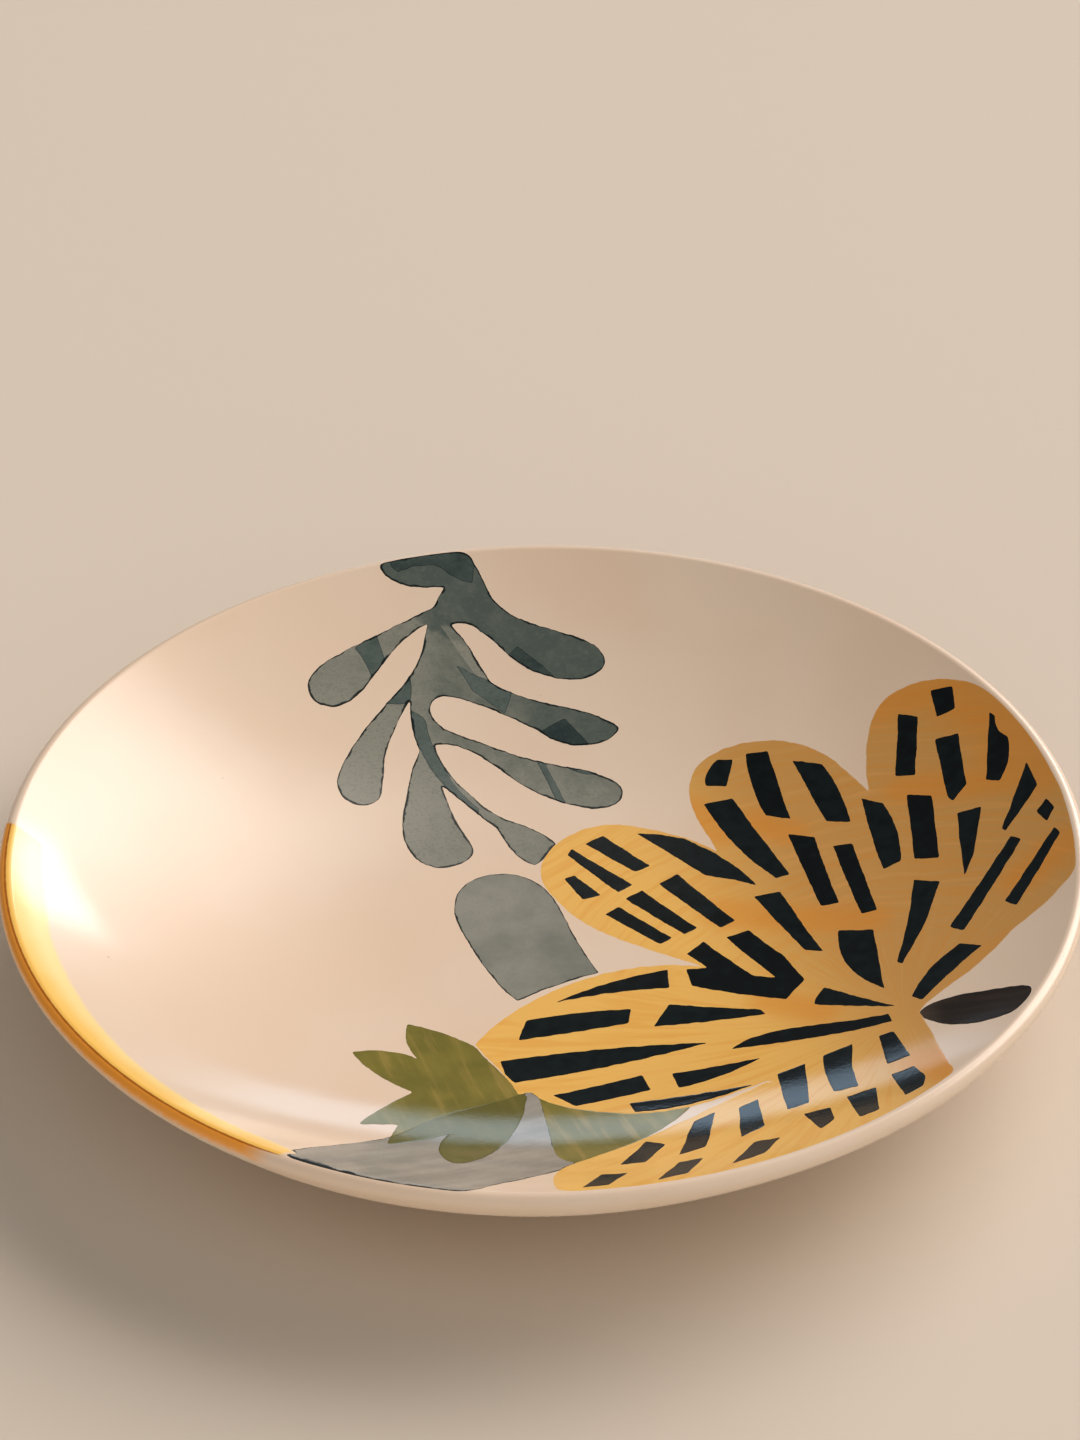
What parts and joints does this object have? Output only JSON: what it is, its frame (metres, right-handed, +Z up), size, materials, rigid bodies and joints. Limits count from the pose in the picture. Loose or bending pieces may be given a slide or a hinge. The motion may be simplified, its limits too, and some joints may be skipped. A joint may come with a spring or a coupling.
{
  "type": "hand painted ceramic plate",
  "caption": "Shallow round coupe plate with a foot ring and a rounded lip, glazed and hand painted inside with a broad striped flower, a leaf branch and a yellow rim band.",
  "frame": {"origin": "on the plate's axis, in the plane that its foot ring stands on", "axes": "+Z up out of the well, +Y towards the rim where the painted leaf branch starts, +X towards the side where the painted flower opens"},
  "size_m": [0.2702, 0.27, 0.0362],
  "materials": {
    "clay": "matt, fired, bare on the foot ring",
    "ivory_glaze": "gloss",
    "yellow_paint": "gloss, brushed",
    "slate_paint": "gloss, watery",
    "dark_slate_paint": "gloss, watery",
    "grey_paint": "gloss, watery",
    "olive_paint": "gloss, brushed",
    "dark_olive_paint": "gloss, brushed",
    "brown_paint": "gloss, brushed",
    "black_paint": "gloss"
  },
  "bodies": {
    "root": {"clay_body": "clay", "inside_glaze": "ivory_glaze", "outside_glaze": "ivory_glaze", "recess_glaze": "ivory_glaze", "rim_band": "yellow_paint", "flower_wash": "yellow_paint", "leaf_branch": "slate_paint", "leaf_overlaps": "dark_slate_paint", "grey_arch": "grey_paint", "green_leaf": "olive_paint", "green_frond": "olive_paint", "green_overlap": "dark_olive_paint", "slate_ground": "grey_paint", "dark_leaf": "brown_paint", "strokes_top_petal": "black_paint", "strokes_upper_petal": "black_paint", "strokes_middle_petal": "black_paint", "strokes_left_petal": "black_paint", "strokes_lower_petal": "black_paint"}
  },
  "joints": []
}
